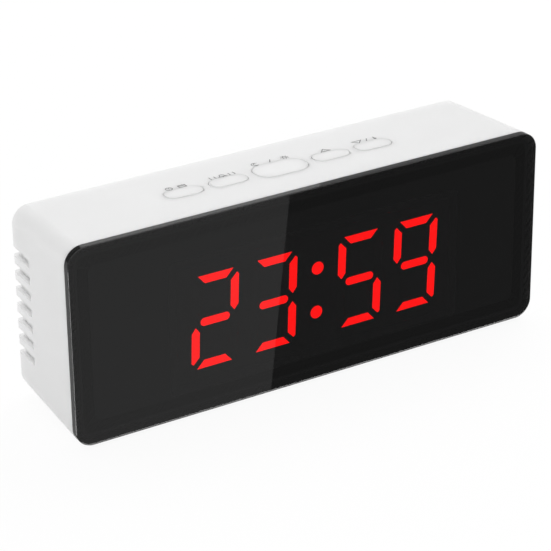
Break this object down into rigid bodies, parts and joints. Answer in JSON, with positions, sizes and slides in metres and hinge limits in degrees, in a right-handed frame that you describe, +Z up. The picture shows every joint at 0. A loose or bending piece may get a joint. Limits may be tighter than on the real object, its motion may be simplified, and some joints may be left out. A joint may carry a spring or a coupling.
{
  "type": "digital led desk clock",
  "caption": "Rounded box clock with a tinted front lens, red segment display, top keys, louvred rear corners and a hinged battery door.",
  "frame": {"origin": "on the table, under the middle of the case", "axes": "+X to the viewer's right, +Y from the display to the back, +Z up"},
  "size_m": [0.142, 0.035, 0.0564],
  "materials": {
    "smoked_lens": "gloss",
    "tape": "matte",
    "black_frame": "matte",
    "white_case": "fine satin",
    "white_key": "fine satin",
    "foot_rubber": "matte",
    "plated_steel": "satin",
    "reflector": "matte",
    "lit_epoxy": "glowing red",
    "unlit_epoxy": "satin",
    "die": "matte",
    "circuit_board": "satin",
    "pin_metal": "polished",
    "black_moulding": "matte",
    "can_metal": "satin",
    "ceramic_chip": "satin",
    "plunger": "matte",
    "switch_body": "matte",
    "cell_jacket": "gloss",
    "contact_steel": "polished",
    "lead_sleeve": "gloss"
  },
  "bodies": {
    "case": {"front_lens": "smoked_lens", "lens_adhesive": "tape", "front_frame": "black_frame", "housing": "white_case", "foot_pads": "foot_rubber", "case_screws": "plated_steel", "display_reflector": "reflector", "lit_segments": "lit_epoxy", "unlit_segments": "unlit_epoxy", "colon_dots": "lit_epoxy", "led_dies": "die", "display_board": "circuit_board", "display_pins": "pin_metal", "key_header": "black_moulding", "key_pins": "pin_metal", "main_board": "circuit_board", "main_board_screws": "plated_steel", "clock_chip": "black_moulding", "crystal": "can_metal", "capacitors": "can_metal", "buzzer": "black_moulding", "resistors": "ceramic_chip", "transistors": "black_moulding", "key_board": "circuit_board", "key_board_screws": "plated_steel", "cell_top": "cell_jacket", "cell_middle": "cell_jacket", "cell_bottom": "cell_jacket", "contact_plates": "contact_steel", "battery_springs": "contact_steel", "battery_leads": "lead_sleeve", "socket_board": "circuit_board", "power_socket": "can_metal", "socket_screws": "plated_steel", "power_leads": "lead_sleeve", "mode_switch": "switch_body", "alarm_switch": "switch_body", "snooze_switch": "switch_body", "up_switch": "switch_body", "down_switch": "switch_body"},
    "mode_key": {"mode_button": "white_key", "mode_plunger": "plunger"},
    "alarm_key": {"alarm_button": "white_key", "alarm_plunger": "plunger"},
    "snooze_key": {"snooze_button": "white_key", "snooze_plunger": "plunger"},
    "up_key": {"up_button": "white_key", "up_plunger": "plunger"},
    "down_key": {"down_button": "white_key", "down_plunger": "plunger"},
    "door": {"battery_door": "white_case"}
  },
  "joints": [
    {"name": "mode_press", "type": "slide", "parent": "case", "child": "mode_key", "axis": [0, -0.0454, -0.999], "range_m": [0, 0.0005], "stiffness_N_per_m": 300},
    {"name": "alarm_press", "type": "slide", "parent": "case", "child": "alarm_key", "axis": [0, -0.0454, -0.999], "range_m": [0, 0.0005], "stiffness_N_per_m": 300},
    {"name": "snooze_press", "type": "slide", "parent": "case", "child": "snooze_key", "axis": [0, -0.0454, -0.999], "range_m": [0, 0.0005], "stiffness_N_per_m": 300},
    {"name": "up_press", "type": "slide", "parent": "case", "child": "up_key", "axis": [0, -0.0454, -0.999], "range_m": [0, 0.0005], "stiffness_N_per_m": 300},
    {"name": "down_press", "type": "slide", "parent": "case", "child": "down_key", "axis": [0, -0.0454, -0.999], "range_m": [0, 0.0005], "stiffness_N_per_m": 300},
    {"name": "door_hinge", "type": "hinge", "parent": "case", "child": "door", "pos_m": [0, 0.0165, 0.009], "axis": [-1, 0, 0], "range_deg": [0, 85]}
  ]
}
